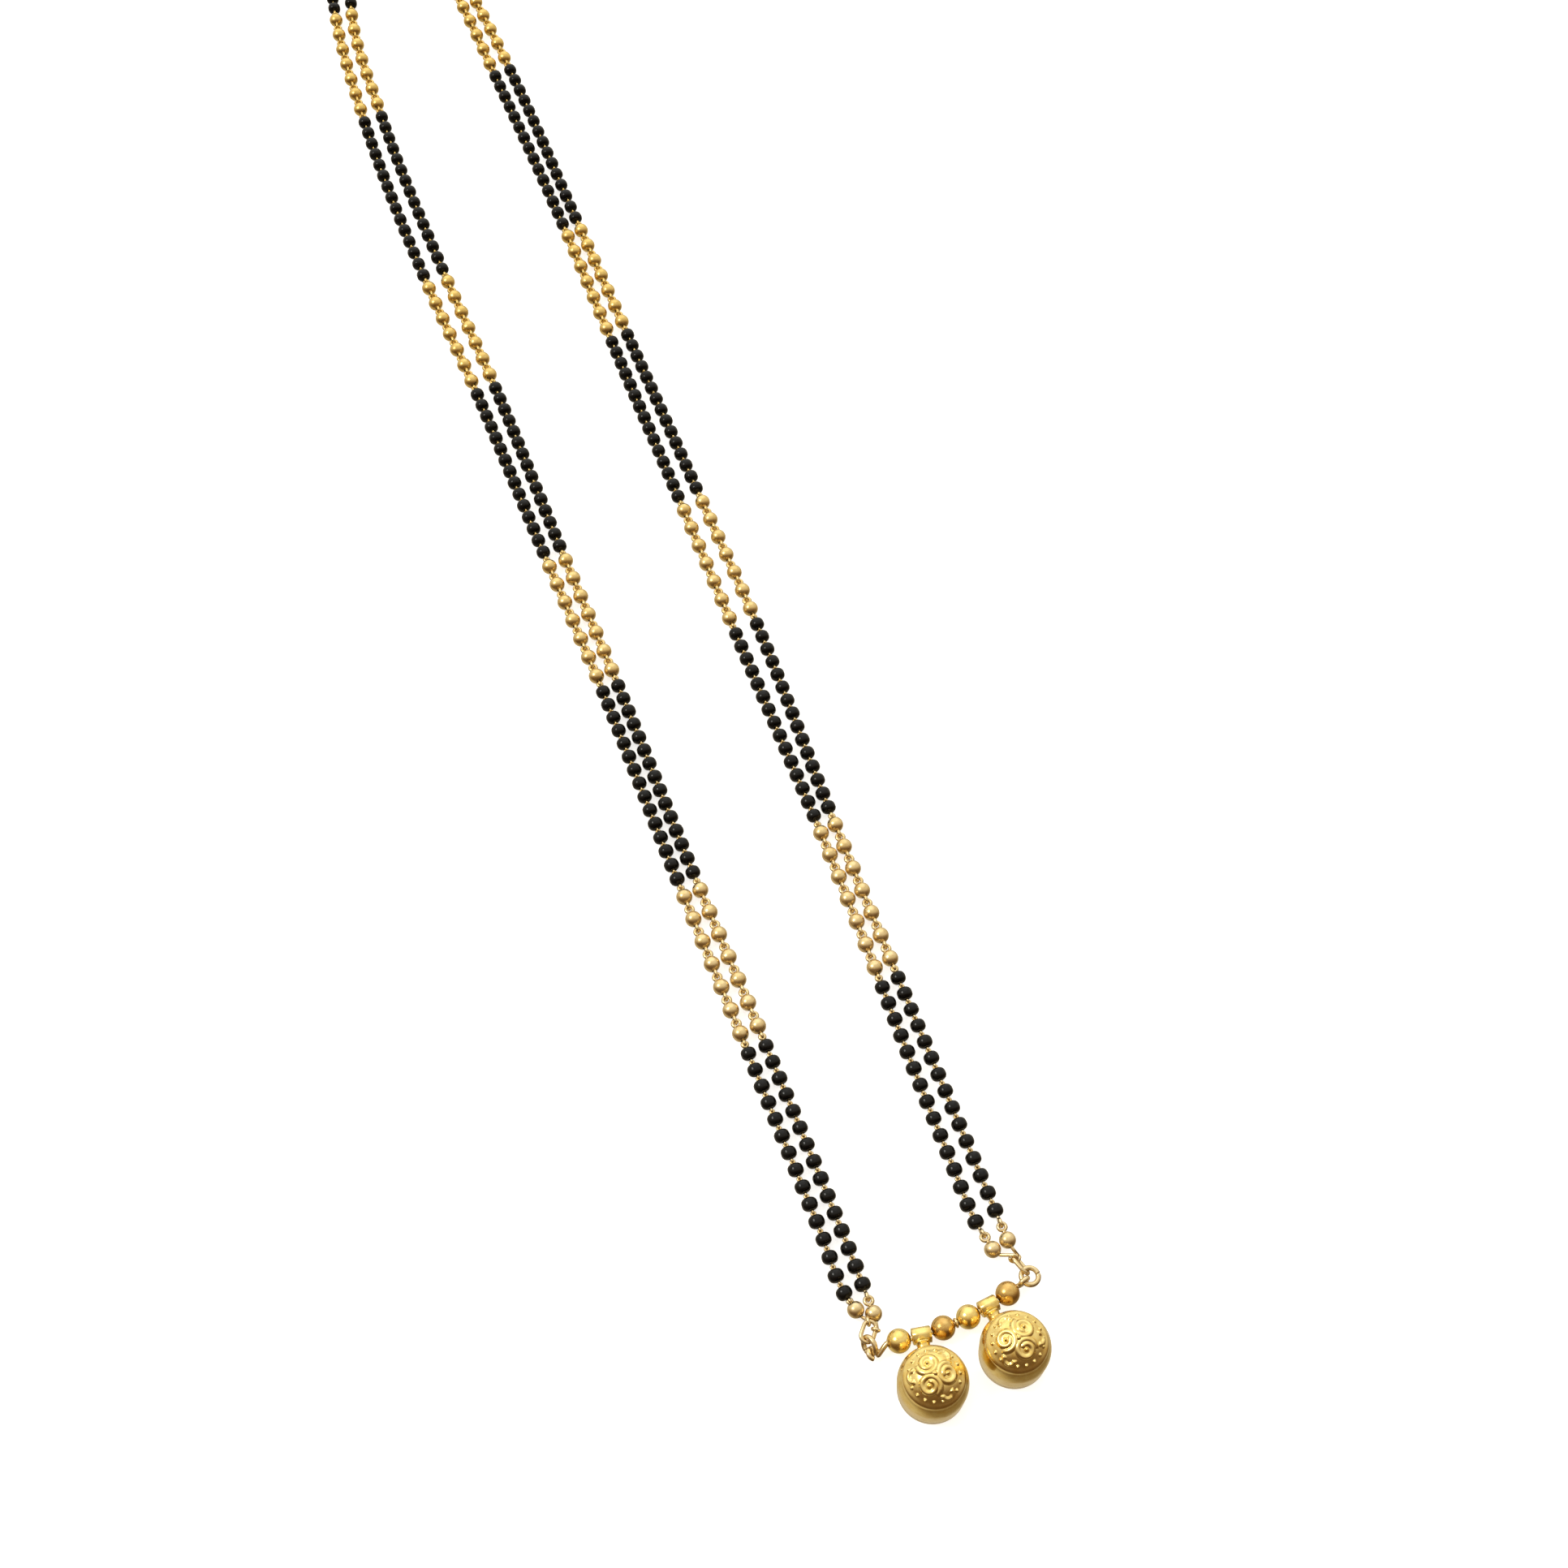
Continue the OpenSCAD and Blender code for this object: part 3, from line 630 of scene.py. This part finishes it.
def round_path(points, radius=BEND_R, steps=4):
    """Rounds the corners of a path."""
    p = [np.array(q, float) for q in points]
    out = [p[0]]
    for a, b, c in zip(p, p[1:], p[2:]):
        u, v = a - b, c - b
        k = min(radius, 0.45 * np.linalg.norm(u), 0.45 * np.linalg.norm(v))
        s, e = b + unit(u) * k, b + unit(v) * k
        for i in range(steps + 1):
            w = i / steps
            out.append((1 - w) ** 2 * s + 2 * w * (1 - w) * b + w * w * e)
    out.append(p[-1])
    return out


for name, (side, angle, back_angle) in STRANDS.items():
    route, rows = strand_beads(name)
    end = route.centre(GOLD, -route.first)
    front_eye = tip(side, angle)
    v = unit(end[:2] - front_eye[0][:2]) + unit(rows[0][1][:2] - end[:2])
    end_turn = math.degrees(math.atan2(v[1], v[0]))

    black = Build()
    verts, faces = bead_shape(BEAD_D[BLACK], BEAD_BORE[BLACK], 20, 14,
                              BEAD_SQUARENESS, BEAD_STRETCH)
    for kind, at, turn in rows:
        if kind == BLACK:
            wobble = rng.uniform(-4, 4)
            m = placed(at, (cosd(turn + wobble), sind(turn + wobble), 0))
            m[:3, :3] = m[:3, :3] * rng.uniform(0.985, 1.02)
            spin = rng.uniform(0, 360)
            r = np.eye(4)
            r[1:3, 1:3] = [[cosd(spin), -sind(spin)], [sind(spin), cosd(spin)]]
            black.add(verts, faces, m @ r)
    black.make("black_beads_" + name + "_glass", black_glass, "black_glass",
               "black_beads_" + name, "black_string_" + name)

    links = Build()
    entry = end - END_D / 2 * np.array([cosd(end_turn), sind(end_turn), 0])
    links.add(*tube_along(round_path(list(reversed(front_eye)) + [entry, end]),
                          FRONT_EYE_WIRE, 10))
    beads = [(GOLD, end, end_turn)] + rows
    for (k1, p1, _), (k2, p2, _) in zip(beads, beads[1:]):
        joint(links, p1, BEAD_D[k1] / 2, p2, BEAD_D[k2] / 2,
              *(BLACK_JOINT if k1 == k2 == BLACK else GOLD_JOINT))
    back_way = ring_way(CLOSING_LIE, back_angle)
    stem = CLOSING_AT[side] + ((RING_D + LINK_EYE) / 2 + STEM_L) * back_way
    back_eye = eye(CLOSING_AT[side], CLOSING_LIE, back_angle, LINK_EYE)
    links.add(*tube_along(round_path([rows[-1][1], stem] + back_eye), LINK_WIRE, 10))
    links.make("links_" + name, wire_gold, "pale_gold_wire", "strand_wire_" + name)


# ----------------------------------------------------- row wire and jump rings
def ball_ends(i):
    w = BALL_D / 2 * np.array([cosd(ball_turn(i)), sind(ball_turn(i)), 0])
    return [row_place(i) - w, row_place(i) + w]


row = Build()
path = list(reversed(eye(RING_AT["left"], RING_LEFT_LIE, ROW_EYE_ANGLE["left"], ROW_EYE)))
for i in range(6):
    path += [row_place(i)] if i in (1, 4) else ball_ends(i)
path += eye(RING_AT["right"], RING_RIGHT_LIE, ROW_EYE_ANGLE["right"], ROW_EYE)
row.add(*tube_along(round_path(path), ROW_LOOK_WIRE, 12))
# A small ring fills the gap between the two middle balls
middle = (ball_ends(2)[1] + ball_ends(3)[0]) / 2
verts, faces = loop_shape(SPACER_R, SPACER_WIRE, 28, 8)
upright = placed(middle, (0, 0, 1), z_hint=unit(ball_ends(3)[0] - ball_ends(2)[1]))
row.add(verts, faces, upright)
row.make("row_wire_round", wire_gold, "pale_gold_wire", "row_wire")


def open_ring(name, at, lie, cut_at, replaced):
    """A jump ring with its two cut ends nearly closed."""
    u, v, n = ring_axes(lie)
    points = [at + RING_D / 2 * (cosd(a) * u + sind(a) * v)
              for a in np.linspace(cut_at + RING_SLIT, cut_at + 360 - RING_SLIT, 49)]
    build = Build()
    build.add(*tube_along(points, RING_LOOK_WIRE, 14, hint=n))
    build.make(name, wire_gold, "pale_gold_wire", replaced)


def oval_link(side):
    """An oval link between a jump ring and its two strands."""
    way, over, through = oval_axes(OVAL_LIE[side])
    r = OVAL_W / 2
    points = []
    for x, start in ((r, 90), (OVAL_L - r, -90)):
        points += [OVAL_AT[side] + (x + r * cosd(a)) * way + r * sind(a) * over
                   for a in np.linspace(start, start + 180, 17)]
    build = Build()
    build.add(*tube_along(points + [points[0]], OVAL_LOOK_WIRE, 12, caps=False, hint=through))
    build.make("oval_ring_" + side, wire_gold, "pale_gold_wire", "oval_link_" + side)


oval_link("left")
oval_link("right")
open_ring("jump_ring_left", RING_AT["left"], RING_LEFT_LIE, -95, "ring_left")
open_ring("jump_ring_right", RING_AT["right"], RING_RIGHT_LIE, 95, "ring_right")
open_ring("back_ring_left", CLOSING_AT["left"], CLOSING_LIE, 10, "closing_ring_left")
open_ring("back_ring_right", CLOSING_AT["right"], CLOSING_LIE, -10, "closing_ring_right")


# ----------------------------------------------------------------------- vatis
# The cast curls. Columns: angle down from the dome's top, azimuth, first and
# last radius in mm, where the curl starts, how far round it goes, and its width.
CURLS = [
    (21, 238, 1.85, 0.7, 60, 520, 0.55),
    (21, 358, 1.85, 0.7, 60, 520, 0.55),
    (21, 118, 1.85, 0.7, 60, 520, 0.55),
    (37, 178, 1.0, 0.8, -110, 220, 0.5),
    (37, 298, 1.0, 0.8, -110, 220, 0.5),
    (37, 58, 1.0, 0.8, -110, 220, 0.5)]
CURL_GRAINS = [(0, 0, 0.5), (21, 238, 0.42), (21, 358, 0.42), (21, 118, 0.42)]
GRAINS = 18
GRAINS_AT = 45
GRAIN_R = 0.34
EDGE_AT = 56
EDGE_H = 0.8 * RELIEF_H
EDGE_RISE, EDGE_FALL = 0.7, 0.55
DOME_SIDES = 400
RIM_SOFT = 0.12
BARREL_SIDES = 32
BARREL_EDGE = 0.12


def on_sphere(polar, azimuth):
    """Frame of a point on the dome: outward way, downhill and along the azimuth."""
    n = np.array([sind(polar) * cosd(azimuth), sind(polar) * sind(azimuth), cosd(polar)])
    down = np.array([cosd(polar) * cosd(azimuth), cosd(polar) * sind(azimuth), -sind(polar)])
    return n, down, np.cross(n, down)


def ridge(off, width):
    """A rounded ridge, worn soft, that meets the ground without a crease."""
    x = np.clip(np.abs(off) / width, 0, 1)
    return (1 - x**2) ** 1.5


def relief_height(n, turn):
    """Height of the cast work over the dome, for outward ways n of shape (k, 3)."""
    c, s = cosd(-turn), sind(-turn)
    n = n @ np.array([[c, -s, 0], [s, c, 0], [0, 0, 1]]).T
    h = np.zeros(len(n))
    for polar, azimuth, r0, r1, start, sweep, width in CURLS:
        way, down, side = on_sphere(polar, azimuth)
        away = DOME_R * np.arccos(np.clip(n @ way, -1, 1))
        angle = np.degrees(np.arctan2(n @ side, n @ down))
        sign = 1 if sweep > 0 else -1
        base = (sign * (angle - start)) % 360
        for lap in range(2):
            phi = base + 360 * lap
            share = phi / abs(sweep)
            here = share <= 1
            radius = r0 + (r1 - r0) * share
            taper = np.clip(np.minimum(share, 1 - share) * 14, 0, 1) ** 0.5
            rise = RELIEF_H * ridge(away - radius, width * (0.75 + 0.25 * taper)) * taper
            h = np.maximum(h, np.where(here, rise, 0))
    for polar, azimuth, r in CURL_GRAINS + [
            (GRAINS_AT, 360 * i / GRAINS, GRAIN_R) for i in range(GRAINS)]:
        way = on_sphere(polar, azimuth)[0]
        away = DOME_R * np.arccos(np.clip(n @ way, -1, 1))
        h = np.maximum(h, r * ridge(away, r * 1.05))
    polar = np.degrees(np.arccos(np.clip(n[:, 2], -1, 1)))
    off = DOME_R * np.radians(polar - EDGE_AT)
    # The edge is a step: it rises softly from the dome, and falls off to the wall
    edge = np.where(off < 0, np.exp(-(off / EDGE_RISE) ** 2), ridge(off, EDGE_FALL))
    return np.maximum(h, EDGE_H * edge)


def vati(side, i):
    """The cup pendant: cast dome, plain wall, rim and hollow, with its tube and neck."""
    at = row_place(i)
    place = np.eye(4)
    c, s = cosd(SWING[side]), sind(SWING[side])
    place[:2, :2] = [[c, -s], [s, c]]
    place[:2, 3] = at[:2]
    tube_y = DOME_R + NECK_L + TUBE_D / 2
    shift = np.eye(4)
    shift[1, 3] = -tube_y
    place = place @ shift

    cols = DOME_SIDES
    az = np.radians(np.arange(cols) * 360 / cols)
    ring = np.stack([np.cos(az), np.sin(az)], 1)
    rows = []
    for polar in np.concatenate([[0.05], np.linspace(0.5, 60, 92), np.linspace(61.5, 90, 16)]):
        n = np.column_stack([ring * sind(polar), np.full(cols, cosd(polar))])
        h = relief_height(n, SCROLLS_TURN[side])
        rows.append(n * (DOME_R + h)[:, None] + (0, 0, WALL_H))
    soft = RIM_SOFT
    for z, r in ((WALL_H * 0.5, (DOME_R + RIM_R) / 2), (soft, RIM_R + 0.002), (0.03, RIM_R - 0.04),
                 (0.0, RIM_R - soft), (0.0, RIM_R - METAL_T + soft), (0.03, RIM_R - METAL_T + 0.04),
                 (soft, RIM_R - METAL_T), (WALL_H, DOME_R - METAL_T)):
        rows.append(np.column_stack([ring * r, np.full(cols, z)]))
    for polar in (75, 60, 45, 30, 15, 4, 0.05):
        rows.append(np.column_stack([ring * (DOME_R - METAL_T) * sind(polar),
                                     np.full(cols, WALL_H + (DOME_R - METAL_T) * cosd(polar))]))
    build = Build()
    faces = grid(len(rows), cols)
    faces.append(tuple(range(cols - 1, -1, -1)))
    faces.append(tuple((len(rows) - 1) * cols + k for k in range(cols)))
    build.add(np.vstack(rows), [f[::-1] for f in faces], place)

    # The eight-sided barrel, with broken edges and its hole
    r, e, half, bore_r = TUBE_D / 2, BARREL_EDGE, TUBE_L / 2, TUBE_BORE / 2
    profile = [(-half, bore_r + 0.05), (-half, r - e), (-half + 0.7 * e, r), (half - 0.7 * e, r),
               (half, r - e), (half, bore_r + 0.05), (half - 0.08, bore_r), (-half + 0.08, bore_r)]
    verts = []
    for x, rr in profile:
        for k in range(BARREL_SIDES):
            a = 360 * k / BARREL_SIDES
            if rr > bore_r + 0.1:
                rr_here = rr * (0.85 * (cosd(22.5) / cosd((a % 45) - 22.5)) + 0.15 * cosd(22.5))
            else:
                rr_here = rr
            verts.append((x, rr_here * cosd(a), rr_here * sind(a)))
    centre = np.eye(4)
    centre[1, 3], centre[2, 3] = tube_y, ROW_Z
    build.add(verts, grid(len(profile), BARREL_SIDES, wrap_rows=True), place @ centre)

    # The neck, with soft shoulders where it is soldered
    y0, y1 = DOME_R - METAL_T / 2, tube_y - TUBE_D / 2 + 0.35
    ys = np.linspace(y0, y1, 9)
    radii = [NECK_D / 2 * (1 + 0.35 * (abs(2 * k / 8 - 1)) ** 3) for k in range(9)]
    build.add(*tube_along([(0, y, ROW_Z) for y in ys], 2.0, 24, radii=radii), place)
    build.make("vati_" + side + "_cast", pendant_gold, "pendant_gold", "vati_" + side)


vati("left", 1)
vati("right", 4)
